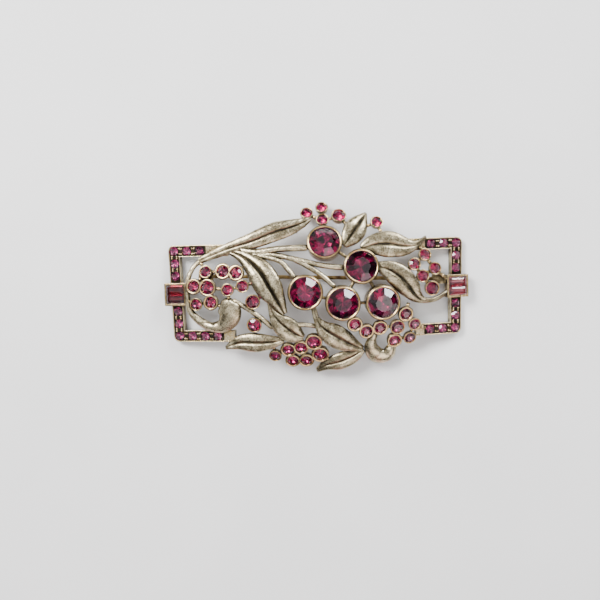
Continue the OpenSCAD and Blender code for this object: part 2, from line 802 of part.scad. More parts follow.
end_frame(-1, LEFT_ARMS, LEFT_ARM_STONES);  // left_frame
end_frame(1, RIGHT_ARMS, RIGHT_ARM_STONES);  // right_frame
baguette_box(-1);  // left_box
baguette_box(1);  // right_box
pave_stones(-1, LEFT_ARM_STONES);  // left_pave_stones
pave_stones(1, RIGHT_ARM_STONES);  // right_pave_stones
baguettes(-1);  // left_baguettes
baguettes(1);  // right_baguettes
color(PEWTER) leaf(LONG_LEAF);  // long_leaf
color(PEWTER) leaf(LEFT_LEAF);  // left_leaf
color(PEWTER) leaf(TOP_LEAF);  // top_leaf
color(PEWTER) leaf(UPPER_RIGHT_LEAF);  // upper_right_leaf
color(PEWTER) leaf(RIGHT_LEAF);  // right_leaf
color(PEWTER) leaf(FRAME_LEAF);  // frame_leaf
color(PEWTER) leaf(CENTRE_LEAF);  // centre_leaf
color(PEWTER) leaf(LOWER_LEAF);  // lower_leaf
color(PEWTER) leaf(BOTTOM_LEAF);  // bottom_leaf
color(PEWTER) stem(LEFT_SCROLL);  // left_scroll
color(PEWTER) stem(RIGHT_SCROLL);  // right_scroll
color(PEWTER) stem(BUD_STEM);  // bud_stem
color(PEWTER) stem(UPPER_STEM);  // upper_stem
color(PEWTER) stem(MIDDLE_STEM);  // middle_stem
color(PEWTER) stem(LOWER_STEM);  // lower_stem
color(PEWTER) stem(SHORT_STEM);  // short_stem
color(PEWTER) for (t = TWIGS) stem(t);  // twigs
large_cup(0);  // large_cup_1
large_cup(1);  // large_cup_2
large_cup(2);  // large_cup_3
large_cup(3);  // large_cup_4
large_cup(4);  // large_cup_5
cup_bridges();
large_stone(0);  // large_stone_1
large_stone(1);  // large_stone_2
large_stone(2);  // large_stone_3
large_stone(3);  // large_stone_4
large_stone(4);  // large_stone_5
cluster(LEFT_CUPS, LEFT_LINKS);  // left_cups
cluster(LOWER_LEFT_CUPS, LOWER_LEFT_LINKS);  // lower_left_cups
cluster(TOP_CUPS, TOP_LINKS);  // top_cups
cluster(RIGHT_CUPS, RIGHT_LINKS);  // right_cups
cluster(LOWER_RIGHT_CUPS, LOWER_RIGHT_LINKS);  // lower_right_cups
cluster(MIDDLE_CUPS, MIDDLE_LINKS);  // middle_cups
cluster(BOTTOM_CUPS, BOTTOM_LINKS);  // bottom_cups
cluster_stones(LEFT_CUPS);  // left_stones
cluster_stones(LOWER_LEFT_CUPS);  // lower_left_stones
cluster_stones(TOP_CUPS);  // top_stones
cluster_stones(RIGHT_CUPS);  // right_stones
cluster_stones(LOWER_RIGHT_CUPS);  // lower_right_stones
cluster_stones(MIDDLE_CUPS);  // middle_stones
cluster_stones(BOTTOM_CUPS);  // bottom_stones
hinge_bracket();
hinge_rivet();
clasp_bar();
catch_body();
lock_sleeve();
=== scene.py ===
import math
import random

import bmesh
import bpy
import numpy as np
from mathutils import Matrix, Vector, noise

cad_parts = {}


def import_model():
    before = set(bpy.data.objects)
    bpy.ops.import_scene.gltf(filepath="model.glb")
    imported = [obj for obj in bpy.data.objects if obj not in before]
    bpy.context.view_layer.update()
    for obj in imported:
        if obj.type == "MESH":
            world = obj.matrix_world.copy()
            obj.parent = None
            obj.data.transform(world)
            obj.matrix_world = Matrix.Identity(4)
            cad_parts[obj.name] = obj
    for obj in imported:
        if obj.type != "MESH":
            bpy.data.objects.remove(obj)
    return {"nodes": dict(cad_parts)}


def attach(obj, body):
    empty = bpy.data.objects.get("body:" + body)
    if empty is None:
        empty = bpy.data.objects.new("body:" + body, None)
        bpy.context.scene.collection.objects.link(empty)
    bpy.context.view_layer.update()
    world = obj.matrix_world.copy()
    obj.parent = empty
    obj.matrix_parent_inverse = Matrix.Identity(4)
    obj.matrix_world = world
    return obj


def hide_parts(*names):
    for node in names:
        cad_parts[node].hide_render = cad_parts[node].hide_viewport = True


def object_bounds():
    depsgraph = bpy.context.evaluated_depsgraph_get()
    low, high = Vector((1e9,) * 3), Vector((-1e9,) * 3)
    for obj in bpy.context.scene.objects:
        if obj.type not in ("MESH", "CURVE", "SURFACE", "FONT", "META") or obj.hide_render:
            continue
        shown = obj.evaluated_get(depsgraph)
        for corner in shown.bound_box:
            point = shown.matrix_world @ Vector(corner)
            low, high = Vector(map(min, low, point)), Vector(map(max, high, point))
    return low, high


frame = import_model()
CAD_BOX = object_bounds()
NODES = frame["nodes"]
MM = 0.001
ORNAMENT = "ornament"


# ---------------------------------------------------------------- materials

# The colour of the painted coral reflection on the castings' lower faces
CORAL_REFLECTION = (0.5, 0.26, 0.18)
# Refractive index of lead crystal
CRYSTAL_IOR = 1.62


class Nodes:
    """A short way to write a node material."""

    def __init__(self, name):
        self.mat = bpy.data.materials.new(name)
        self.mat.use_nodes = True
        self.tree = self.mat.node_tree
        self.tree.nodes.clear()
        self.out = self.add("ShaderNodeOutputMaterial")
        self.bsdf = self.add("ShaderNodeBsdfPrincipled")
        self.link(self.bsdf.outputs["BSDF"], self.out.inputs["Surface"])
        coords = self.add("ShaderNodeTexCoord")
        scale = self.add("ShaderNodeVectorMath", operation="SCALE")
        scale.inputs["Scale"].default_value = 1 / MM
        self.link(coords.outputs["Object"], scale.inputs[0])
        self.mm = scale.outputs["Vector"]

    def add(self, kind, **settings):
        node = self.tree.nodes.new(kind)
        for key, value in settings.items():
            setattr(node, key, value)
        return node

    def link(self, a, b):
        self.tree.links.new(a, b)

    def noise(self, per_mm, detail=3.0, rough=0.55, distortion=0.0):
        node = self.add("ShaderNodeTexNoise")
        self.link(self.mm, node.inputs["Vector"])
        node.inputs["Scale"].default_value = per_mm
        node.inputs["Detail"].default_value = detail
        node.inputs["Roughness"].default_value = rough
        node.inputs["Distortion"].default_value = distortion
        return node.outputs["Fac"]

    def remap(self, value, low, high, to_low=0.0, to_high=1.0):
        node = self.add("ShaderNodeMapRange")
        node.interpolation_type = "SMOOTHSTEP"
        self.link(value, node.inputs["Value"])
        limits = (("From Min", low), ("From Max", high), ("To Min", to_low), ("To Max", to_high))
        for key, limit in limits:
            node.inputs[key].default_value = limit
        return node.outputs["Result"]

    def math(self, op, a, b=None):
        node = self.add("ShaderNodeMath", operation=op)
        for socket, v in zip(node.inputs, (a, b)):
            if v is None:
                continue
            if isinstance(v, (int, float)):
                socket.default_value = v
            else:
                self.link(v, socket)
        return node.outputs["Value"]

    def mix(self, fac, a, b):
        node = self.add("ShaderNodeMix", data_type="RGBA")
        for key, v in (("Factor", fac), ("A", a), ("B", b)):
            socket = node.inputs[key]
            if isinstance(v, (int, float)):
                socket.default_value = v
            elif isinstance(v, tuple):
                socket.default_value = (*v, 1)
            else:
                self.link(v, socket)
        return node.outputs["Result"]

    def bump(self, height, strength, distance_mm, before=None):
        node = self.add("ShaderNodeBump")
        node.inputs["Strength"].default_value = strength
        node.inputs["Distance"].default_value = distance_mm * MM
        self.link(height, node.inputs["Height"])
        if before is not None:
            self.link(before, node.inputs["Normal"])
        return node.outputs["Normal"]

    def attribute(self, name):
        return self.add("ShaderNodeAttribute", attribute_name=name).outputs["Fac"]

    def hollows(self, distance_mm):
        node = self.add("ShaderNodeAmbientOcclusion", samples=6)
        node.inputs["Distance"].default_value = distance_mm * MM
        return node.outputs["AO"]


def antique_metal(name, dark, body, bright, gold, rough, pits):
    """Old plated castings: dark in the grooves, bright and golden where they are rubbed and where a
    highlight is painted, darker where shade is painted, with a painted coral reflection on the faces that
    turn to the clip's lower edge.
    """
    m = Nodes(name)
    open_air = m.hollows(1.1)
    blotch = m.noise(0.55, 4, 0.6, 0.4)
    speck = m.noise(3.6, 5, 0.7)
    grain = m.noise(9.0, 4, 0.65)
    wear_and_light = m.attribute("wear_and_light")
    # patina gathers where little light gets in, in patches
    clean_and_lit = m.math("ADD", open_air, m.remap(blotch, 0.3, 0.7, -0.17, 0.11))
    clean_and_lit = m.math("ADD", clean_and_lit, m.remap(speck, 0.3, 0.7, -0.13, 0.1))
    # the vertex values add rubbed wear and painted highlights, and take away for dirt and painted shade
    clean_and_lit = m.math("ADD", clean_and_lit, m.math("MULTIPLY", wear_and_light, 0.4))
    colour = m.mix(m.remap(clean_and_lit, 0.34, 0.92), dark, body)
    colour = m.mix(m.remap(clean_and_lit, 0.86, 1.25), colour, bright)
    # gold where the plating is worn through, and on the painted highlights
    tint = m.math("ADD", wear_and_light, m.remap(blotch, 0.45, 0.75, 0.0, 0.4))
    colour = m.mix(m.remap(tint, 0.3, 1.1, 0.0, 0.8), colour, gold)
    # painted coral reflection of a pink light, in patches, on the faces that turn to the clip's lower edge
    turned = m.add("ShaderNodeSeparateXYZ")
    m.link(m.add("ShaderNodeNewGeometry").outputs["Normal"], turned.inputs["Vector"])
    lower = m.remap(turned.outputs["Y"], -0.75, -0.2, 1.0, 0.0)
    patches = m.remap(m.noise(0.45, 3, 0.5, 0.3), 0.4, 0.62)
    painted_reflection = m.math("MULTIPLY", m.math("MULTIPLY", lower, patches), 0.6)
    colour = m.mix(painted_reflection, colour, CORAL_REFLECTION)
    m.link(colour, m.bsdf.inputs["Base Color"])
    m.bsdf.inputs["Metallic"].default_value = 1.0
    matt = m.remap(speck, 0.3, 0.75, rough - 0.08, rough + 0.14)
    m.link(m.math("SUBTRACT", matt, m.math("MULTIPLY", wear_and_light, 0.12)), m.bsdf.inputs["Roughness"])
    skin = m.bump(speck, 0.35 * pits, 0.05)
    skin = m.bump(grain, 0.45 * pits, 0.03, skin)
    m.link(skin, m.bsdf.inputs["Normal"])
    return m.mat


def gilt_metal(name):
    """Drawn and gilt wire: fine lines along X, and dull in places."""
    m = Nodes(name)
    stretch = m.add("ShaderNodeMapping")
    stretch.inputs["Scale"].default_value = (0.12, 1, 1)
    m.link(m.mm, stretch.inputs["Vector"])
    lines = m.add("ShaderNodeTexNoise")
    lines.inputs["Scale"].default_value = 14
    lines.inputs["Detail"].default_value = 3
    m.link(stretch.outputs["Vector"], lines.inputs["Vector"])
    stain = m.noise(0.8, 4, 0.6)
    air = m.hollows(0.7)
    colour = m.mix(m.remap(stain, 0.35, 0.7), (0.13, 0.085, 0.036), (0.36, 0.25, 0.1))
    colour = m.mix(m.remap(air, 0.15, 0.8), (0.1, 0.07, 0.035), colour)
    m.link(colour, m.bsdf.inputs["Base Color"])
    m.bsdf.inputs["Metallic"].default_value = 1.0
    m.link(m.remap(stain, 0.3, 0.75, 0.26, 0.45), m.bsdf.inputs["Roughness"])
    m.link(m.bump(lines.outputs["Fac"], 0.25, 0.02), m.bsdf.inputs["Normal"])
    return m.mat


def crystal(name, colour):
    """The crown of a stone: clear tinted glass with the faint haze of handling."""
    m = Nodes(name)
    haze = m.noise(2.2, 4, 0.6)
    milky = tuple(min(1.0, c * 0.7 + 0.22) for c in colour)
    m.link(m.mix(m.remap(haze, 0.4, 0.75, 0.0, 0.25), colour, milky), m.bsdf.inputs["Base Color"])
    m.bsdf.inputs["Transmission Weight"].default_value = 1.0
    m.bsdf.inputs["IOR"].default_value = CRYSTAL_IOR
    m.link(m.remap(haze, 0.45, 0.8, 0.0, 0.05), m.bsdf.inputs["Roughness"])
    return m.mat


def foil(name, deep, light, spread):
    """The foiled back of a stone, seen through it: each facet is painted its own lighter or darker tone, a
    painted reflection as if each facet caught the light its own way.
    """
    m = Nodes(name)
    tone = m.attribute("tone")
    fleck = m.noise(2.6, 3, 0.6)
    mixed = m.math("ADD", tone, m.remap(fleck, 0.3, 0.7, -0.12, 0.12))
    m.link(m.mix(m.remap(mixed, 0.5 - spread, 0.5 + spread), deep, light), m.bsdf.inputs["Base Color"])
    m.bsdf.inputs["Metallic"].default_value = 0.9
    m.bsdf.inputs["Roughness"].default_value = 0.12
    return m.mat


CAST = antique_metal(
    "antique_cast_metal", dark=(0.018, 0.015, 0.01), body=(0.2, 0.165, 0.1), bright=(0.68, 0.59, 0.4),
    gold=(0.6, 0.43, 0.2), rough=0.3, pits=1.3)
CUPS = antique_metal(
    "antique_cup_metal", dark=(0.02, 0.014, 0.008), body=(0.16, 0.12, 0.062), bright=(0.6, 0.46, 0.26),
    gold=(0.66, 0.45, 0.19), rough=0.26, pits=0.8)
GILT = gilt_metal("gilt_wire")
LARGE_GLASS = crystal("large_stone_glass", (0.72, 0.3, 0.56))
LARGE_FOIL = foil("large_stone_foil", (0.012, 0.001, 0.01), (0.7, 0.05, 0.32), 0.36)
SMALL_GLASS = crystal("small_stone_glass", (0.85, 0.4, 0.64))
SMALL_FOIL = foil("small_stone_foil", (0.06, 0.003, 0.03), (0.8, 0.12, 0.36), 0.42)
PAVE_GLASS = crystal("frame_stone_glass", (0.86, 0.52, 0.72))
PAVE_FOIL = foil("frame_stone_foil", (0.08, 0.014, 0.06), (0.8, 0.28, 0.5), 0.42)
DARK_GLASS = crystal("dark_baguette_glass", (0.62, 0.34, 0.42))
DARK_FOIL = foil("dark_baguette_foil", (0.05, 0.012, 0.03), (0.5, 0.1, 0.12), 0.45)
PALE_GLASS = crystal("pale_baguette_glass", (0.95, 0.74, 0.76))
PALE_FOIL = foil("pale_baguette_foil", (0.3, 0.06, 0.1), (0.9, 0.45, 0.48), 0.45)


# ---------------------------------------------------------------- mesh tools

def cad_mesh(node):
    """A copy of a CAD node's mesh in millimetres, with its seams closed."""
    bm = bmesh.new()
    bm.from_mesh(NODES[node].data)
    bmesh.ops.scale(bm, vec=(1 / MM,) * 3, verts=bm.verts)
    bmesh.ops.remove_doubles(bm, verts=bm.verts, dist=0.002)
    bm.verts.ensure_lookup_table()
    bm.faces.ensure_lookup_table()
    return bm


def islands(verts):
    """The groups of vertices that hang together, each in the order in which it is walked through."""
    seen = set()
    found = []
    for start in verts:
        if start in seen:
            continue
        seen.add(start)
        group = [start]
        for v in group:
            for e in v.link_edges:
                w = e.other_vert(v)
                if w not in seen:
                    seen.add(w)
                    group.append(w)
        found.append(group)
    return found


def piece(name, bm, materials, nodes, body=ORNAMENT, smooth=True):
    bmesh.ops.scale(bm, vec=(MM,) * 3, verts=bm.verts)
    bmesh.ops.recalc_face_normals(bm, faces=bm.faces)
    for f in bm.faces:
        f.smooth = smooth
    mesh = bpy.data.meshes.new(name)
    bm.to_mesh(mesh)
    bm.free()
    for material in materials:
        mesh.materials.append(material)
    obj = bpy.data.objects.new(name, mesh)
    bpy.context.scene.collection.objects.link(obj)
    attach(obj, body)
    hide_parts(*nodes)
    return obj


def sharpen(obj, degrees):
    """Keeps the edges that turn more than this sharp under smooth shading."""
    bm = bmesh.new()
    bm.from_mesh(obj.data)
    for e in bm.edges:
        turns = len(e.link_faces) == 2 and e.calc_face_angle(0) > math.radians(degrees)
        e.smooth = not turns
    bm.to_mesh(obj.data)
    bm.free()


def wear_and_light_layer(bm):
    """Wear and painted light by vertex: over 0 where the metal is rubbed bright and where a highlight is
    painted, under 0 where dirt has gathered and where shade is painted.
    """
    return bm.verts.layers.float.get("wear_and_light") or bm.verts.layers.float.new("wear_and_light")


def roughen(bm, size, amount, seed):
    """The soft unevenness of a casting."""
    shift = Vector((seed * 3.1, seed * 1.7, seed * 2.3))
    bm.normal_update()
    for v in bm.verts:
        v.co += v.normal * amount * noise.noise(v.co / size + shift)


def soft_copy(node, voxel, passes):
    """A CAD node's shape with the soft edges of a casting."""
    bm = cad_mesh(node)
    mesh = bpy.data.meshes.new("soft")
    bm.to_mesh(mesh)
    bm.free()
    obj = bpy.data.objects.new("soft", mesh)
    bpy.context.scene.collection.objects.link(obj)
    rebuild = obj.modifiers.new("rebuild", "REMESH")
    rebuild.mode = "VOXEL"
    rebuild.voxel_size = voxel
    soften = obj.modifiers.new("soften", "SMOOTH")
    soften.iterations = passes
    soften.factor = 0.5
    graph = bpy.context.evaluated_depsgraph_get()
    made = bpy.data.meshes.new_from_object(obj.evaluated_get(graph))
    bm = bmesh.new()
    bm.from_mesh(made)
    bpy.data.objects.remove(obj)
    bpy.data.meshes.remove(mesh)
    bpy.data.meshes.remove(made)
    return bm


# ---------------------------------------------------------------- stones and cups

# Materials of a cut stone: its crown, and its foiled back
GLASS, BACK = 0, 1
# The tone of a clear facet, halfway through the foil's range
EVEN_TONE = 0.5
# A round stone's measures as shares of its diameter, and its number of bezel facets
CROWN = 0.155
GIRDLE_TOP = 0.02
GIRDLE_LOW = -0.015
MAINS_RADIUS = 0.26
KEEL = 0.4
CUT_SIDES = 8
# How far a stone is turned in its cup, in radians: a bezel facet of the large stones meets the window
STONE_TURN = 0.3
# The ledge under a stone and the opening behind it, as shares of the stone's radius
LEDGE = 0.19
OPENING = 0.78
# Points this near a small stone, in mm beyond its radius, belong to its cup
CUP_MARGIN = 0.7
# Solder on the bars between small cups, in mm: the shortest bar that gets a bead, its radius and rise
SHORTEST_BAR = 0.5
SOLDER_R = 0.46
SOLDER_RISE = 0.12


class Seat:
    """Where a stone sits: middle of its girdle, its axis, its radius."""

    def __init__(self, centre, axis, radius):
        self.centre = centre
        self.axis = axis
        self.radius = radius
        side = (Vector((1, 0, 0)) - axis * axis.x).normalized()
        turned = Matrix((side, axis.cross(side), axis)).transposed().to_4x4()
        self.matrix = Matrix.Translation(centre) @ turned

    def measure(self, point):
        """How high a point lies over the girdle, and how far from the axis."""
        way = point - self.centre
        level = way.dot(self.axis)
        return level, (way - self.axis * level).length


def seats(node):
    """Finds each stone of a node from the shape of its solid, whose flattest way is its axis."""
    bm = cad_mesh(node)
    found = []
    for group in islands(bm.verts):
        points = np.array([v.co for v in group], float)
        middle = points.mean(0)
        vectors = np.linalg.eigh(np.cov((points - middle).T))[1]
        axis = vectors[:, 0] * (1 if vectors[2, 0] > 0 else -1)
        level = (points - middle) @ axis
        reach = np.linalg.norm((points - middle) - np.outer(level, axis), axis=1)
        girdle = level[reach > reach.max() * 0.97].mean()
        found.append(Seat(Vector(middle + axis * girdle), Vector(axis), float(reach.max())))
    bm.free()
    return sorted(found, key=lambda seat: (round(seat.centre.x, 3), seat.centre.y))


def facet(bm, verts, tone_layer, tone, material):
    """One flat facet, with the painted reflection tone of its foil."""
    face = bm.faces.new(verts)
    face.material_index = material
    face.smooth = False
    face[tone_layer] = tone


def brilliant(bm, seat, rng, turn, table=0.6):
    """A round chaton: flat table, eight bezel facets with girdle facets between them, and a
    pavilion of long mains and lower halves down to the point."""
    tone = bm.faces.layers.float.get("tone") or bm.faces.layers.float.new("tone")
    d = seat.radius * 2
    n = 2 * CUT_SIDES

    def ring(radius, z, count, offset):
        angles = [turn + (k + offset) * math.tau / count for k in range(count)]
        places = [Vector((radius * math.cos(a), radius * math.sin(a), z)) for a in angles]
        return [bm.verts.new(seat.matrix @ place) for place in places]

    top = ring(d * table / 2, d * CROWN, CUT_SIDES, 0.5)
    upper = ring(d / 2, d * GIRDLE_TOP, n, 0.0)
    lower = ring(d / 2, d * GIRDLE_LOW, n, 0.0)
    mid = ring(d * MAINS_RADIUS, -d * KEEL * 0.5, n, 0.5)
    point = bm.verts.new(seat.matrix @ Vector((0, 0, -d * KEEL)))
    facet(bm, top, tone, EVEN_TONE, GLASS)
    for k in range(CUT_SIDES):
        left, centre, right = upper[2 * k - 1], upper[2 * k], upper[2 * k + 1]
        facet(bm, (top[k - 1], left, centre, right, top[k]), tone, EVEN_TONE, GLASS)
    for k in range(n):
        after = (k + 1) % n
        facet(bm, (upper[k], lower[k], lower[after], upper[after]), tone, EVEN_TONE, GLASS)
        # the pavilion facets get random foil tones: painted reflections, each facet lighter or darker as if
        # it caught the light its own way
        facet(bm, (lower[k], mid[k], lower[after]), tone, rng.random(), BACK)
        facet(bm, (mid[k - 1], mid[k], lower[k]), tone, rng.random(), BACK)
        facet(bm, (mid[k], mid[k - 1], point), tone, rng.random(), BACK)


def stones(node, glass, back, seed):
    """The stones of one node, cut facet by facet, each turned a little its own way."""
    rng = random.Random(seed)
    bm = bmesh.new()
    for seat in seats(node):
        brilliant(bm, seat, rng, STONE_TURN + rng.uniform(-0.2, 0.2))
    piece(node + "_cut", bm, (glass, back), (node,), smooth=False)


def lathe(bm, seat, profile, count, wobble, seed):
    """Turns a closed profile of (radius, height, worn) about a seat's axis, a little unevenly."""
    wear_and_light = wear_and_light_layer(bm)
    rings = []
    for k in range(count):
        angle = k * math.tau / count
        cos, sin = math.cos(angle), math.sin(angle)
        ring = []
        for radius, height, wear_and_light_amount in profile:
            uneven = wobble * noise.noise(Vector((cos * 1.3, sin * 1.3, height * 0.8 + seed)))
            far = radius + uneven
            v = bm.verts.new(seat.matrix @ Vector((far * cos, far * sin, height + uneven * 0.5)))
            v[wear_and_light] = wear_and_light_amount
            ring.append(v)
        rings.append(ring)
    corners = len(profile)
    for ring, following in zip(rings, rings[1:] + rings[:1]):
        for j in range(corners):
            after = (j + 1) % corners
            bm.faces.new((ring[j], following[j], following[after], ring[after])).smooth = True


def arc(x, z, r, start, end, steps, wear_and_light_amount):
    """A round stretch of a profile, between two angles in degrees."""
    angles = [math.radians(start + (end - start) * k / steps) for k in range(steps + 1)]
    return [(x + r * math.cos(a), z + r * math.sin(a), wear_and_light_amount) for a in angles]


def small_cup_profile(stone_r, outer, rim, depth):
    """The section of a small cup: tapered wall, rounded lip pressed in over the stone, ledge and open
    back. Each point is (radius, height, worn)."""
    taper = 0.15
    lip = (outer - stone_r) / 2
    curl = lip * 0.95
    opening = stone_r * OPENING
    return [
        (outer - taper, -depth + 0.08, 0.2),
        (outer - taper * 0.55, -depth * 0.5, 0.0),
        (outer - 0.01, rim - lip * 1.6, -0.2),
        # the top arc of the lip is brightened as a painted highlight; the outer wall and the inner slope
        # towards the stone are darkened
        *arc(outer - curl, rim - lip * 0.85, curl, 0, 55, 3, -0.25),
        *arc(outer - curl, rim - lip * 0.85, curl, 80, 150, 3, 0.7),
        (stone_r + 0.05, rim - lip * 0.8, -0.7),
        (stone_r - 0.015, rim - lip * 1.5, -0.8),
        (stone_r + 0.02, -0.1 * stone_r, 0.0),
        (stone_r + 0.02, -LEDGE * stone_r, 0.0),
        (opening, -0.2 * stone_r, 0.0),
        (opening, -depth + 0.08, 0.1),
        (opening + 0.06, -depth, 0.3),
        (outer - taper - 0.08, -depth, 0.3),
    ]


def large_cup_profile(stone_r, outer, rim, depth):
    """The section of a deep cup: a rounded shoulder darkened as painted shade, a thin lip bent in over the
    stone and brightened as a painted highlight, and a turned-in foot. Each point is (radius, height, wear
    and painted light)."""
    shoulder = 0.24
    opening = stone_r * OPENING
    return [
        (outer - 0.2, -depth + 0.15, 0.3),
        (outer - 0.12, -depth * 0.66, 0.0),
        (outer - 0.06, -depth * 0.3, 0.0),
        (outer - 0.04, rim - 0.62, 0.1),
        # the shoulder's values under 0 are painted shade, the lip's top values near 1 a painted highlight,
        # and the lip's inner slope is darkened towards the stone
        *arc(outer - shoulder, rim - shoulder - 0.1, shoulder, 0, 75, 5, -0.3),
        (outer - 0.25, rim - 0.1, -0.6),
        (outer - 0.31, rim - 0.03, 0.7),
        (outer - 0.38, rim, 1.0),
        (outer - 0.45, rim - 0.02, 0.9),
        (stone_r - 0.02, rim - 0.1, 0.5),
        (stone_r - 0.07, rim - 0.18, -0.5),
        (stone_r - 0.06, rim - 0.27, -1.0),
        (stone_r + 0.03, 0.0, 0.0),
        (stone_r + 0.03, -LEDGE * stone_r, 0.0),
        (opening, -0.2 * stone_r, 0.0),
        (opening, -depth + 0.12, 0.1),
        (opening + 0.12, -depth, 0.4),
        (outer - 0.34, -depth, 0.4),
    ]


def cup_size(bm, seat, alone):
    """Outer radius, rim height and depth of the cup round a seat, from the CAD mesh. A mesh that holds
    one cup alone is measured whole, and of a cluster's mesh only what lies near the seat."""
    spots = [seat.measure(v.co) for v in bm.verts]
    if not alone:
        spots = [(level, reach) for level, reach in spots
                 if reach < seat.radius + CUP_MARGIN and abs(level) < seat.radius * 1.2]
    rim = max(level for level, reach in spots)
    outer = max(reach for level, reach in spots if level > rim - 0.01)
    depth = -min(level for level, reach in spots if alone or reach < outer + 0.01)
    return outer, rim, depth


def in_a_cup(point, cups):
    """Whether a point lies in one of the cups, which are given as (seat, (outer, rim, depth))."""
    for seat, (outer, rim, depth) in cups:
        level, reach = seat.measure(point)
        if reach < outer + 0.004 and -depth - 0.01 < level < rim + 0.01:
            return True
    return False


def bead(bm, at, radius, wear_and_light_amount, squash=0.8, up=Vector((0, 0, 1))):
    """A small flattened ball of metal."""
    turned = up.to_track_quat("Z", "Y").to_matrix().to_4x4()
    shape = Matrix.Translation(at) @ turned @ Matrix.Diagonal((radius, radius, radius * squash, 1))
    made = bmesh.ops.create_icosphere(bm, subdivisions=2, radius=1, matrix=shape)
    wear_and_light = wear_and_light_layer(bm)
    for v in made["verts"]:
        v[wear_and_light] = wear_and_light_amount
        for f in v.link_faces:
            f.smooth = True


def cluster(cups_node, stone_node, seed):
    """A cluster of cups: each cup turned, and its bars taken from the CAD mesh with a bead of solder."""
    source = cad_mesh(cups_node)
    cups = [(seat, cup_size(source, seat, alone=False)) for seat in seats(stone_node)]
    bm = bmesh.new()
    wear_and_light_layer(bm)
    for i, (seat, (outer, rim, depth)) in enumerate(cups):
        profile = small_cup_profile(seat.radius, outer + 0.02, rim + 0.03, depth)
        lathe(bm, seat, profile, 40, 0.035, seed + i)
    bars = [f for f in source.faces if not in_a_cup(f.calc_center_median(), cups)]
    corners = dict.fromkeys(v for f in bars for v in f.verts)
    kept = {v: bm.verts.new(v.co) for v in corners}
    for f in bars:
        bm.faces.new([kept[v] for v in f.verts]).smooth = True
    source.free()
    open_edges = [e for e in bm.edges if len(e.link_faces) == 1]
    bmesh.ops.holes_fill(bm, edges=open_edges, sides=0)
    solder = []
    for bar in islands(kept.values()):
        low = Vector([min(v.co[i] for v in bar) for i in range(3)])
        high = Vector([max(v.co[i] for v in bar) for i in range(3)])
        if (high - low).length > SHORTEST_BAR:
            solder.append((low + high) / 2 + Vector((0, 0, SOLDER_RISE)))
    for at in solder:
        bead(bm, at, SOLDER_R, 0.6)
    obj = piece(cups_node + "_soldered", bm, (CUPS,), (cups_node,))
    sharpen(obj, 60)


def large_setting(number):
    """A large cup and its stone."""
    cup, stone = f"large_cup_{number}", f"large_stone_{number}"
    (seat,) = seats(stone)
    source = cad_mesh(cup)
    outer, rim, depth = cup_size(source, seat, alone=True)
    source.free()
    bm = bmesh.new()
    lathe(bm, seat, large_cup_profile(seat.radius, outer, rim, depth), 96, 0.05, number * 7)
    obj = piece(cup + "_turned", bm, (CUPS,), (cup,))
    sharpen(obj, 60)
    bm = bmesh.new()
    brilliant(bm, seat, random.Random(40 + number), STONE_TURN, table=0.56)
    piece(stone + "_cut", bm, (LARGE_GLASS, LARGE_FOIL), (stone,), smooth=False)


# ---------------------------------------------------------------- leaves and stems

# Corners of the rings that a leaf and a stem run through in the CAD model
LEAF_CORNERS = 9
STEM_CORNERS = 8
# Steps over a leaf's top and its back, and round a stem
LEAF_TOP = 30
LEAF_BACK = 10
STEM_SIDES = 24
# Spacing of the rows along a leaf and a stem, in mm
LEAF_STEP = 0.2
STEM_STEP = 0.18
# The soft edge of a casting stands this much farther out than the corner that it follows
LEAF_FULLER = 1.06
STEM_FULLER = 1.03
# A leaf's groove: its half width as a share of the leaf's, and how much of the CAD groove's height stays
GROOVE_HALF = 0.15
GROOVE_KEPT = 0.3
# Side veins: their rate along the leaf in radians per mm, their lean, and their height in mm
VEIN_RATE = 2.6
VEIN_LEAN = 1.5
VEIN_HEIGHT = 0.011
# Fine chased lines along the leaf: their height in mm
LINE_HEIGHT = 0.014
# How full a stem's first rows are, which rounds its ends
ROUNDED_END = [math.sqrt(1 - (1 - k / 4) ** 2) for k in (0.35, 1, 2, 3)]


def end_cap(group, n):
    """The n corners of the flat end of a loft: it holds a corner that only four edges meet at."""
    for v in group:
        if len(v.link_edges) != 4:
            continue
        for f in v.link_faces:
            a, b, c = (w.co for w in f.verts)
            normal = (b - a).cross(c - a).normalized()
            flat = [w for w in group if abs((w.co - a).dot(normal)) < 0.006 and (w.co - a).length < 6]
            if len(flat) == n and all(w in flat for w in f.verts):
                return flat
    raise ValueError("no end cap")


def rim_loop(cap):
    """The corners of an end cap in order round its rim."""
    step = {}
    for v in cap:
        for e in v.link_edges:
            w = e.other_vert(v)
            caps = sum(all(u in cap for u in f.verts) for f in e.link_faces)
            if w in cap and caps == 1:
                step.setdefault(v, []).append(w)
    loop = [cap[0], step[cap[0]][0]]
    while len(loop) < len(cap):
        loop.append(next(w for w in step[loop[-1]] if w is not loop[-2]))
    return loop


def next_ring(last, used):
    """The ring that follows one on a loft, in the same order and turned to match, or None at the end."""
    n = len(last)
    place = {v: k for k, v in enumerate(last)}
    linked = {}
    for v in last:
        for e in v.link_edges:
            w = e.other_vert(v)
            if w not in used:
                linked.setdefault(w, set()).add(place[v])
    if len(linked) != n:
        return None
    found = [None] * n
    for w, (a, b) in ((w, sorted(places)) for w, places in linked.items()):
        found[b if (a, b) == (0, n - 1) else a] = w
    if None in found:
        return None
    turned = [found[-1]] + found[:-1]
    ahead = sum((found[k].co - last[k].co).length for k in range(n))
    behind = sum((turned[k].co - last[k].co).length for k in range(n))
    return found if ahead <= behind else turned


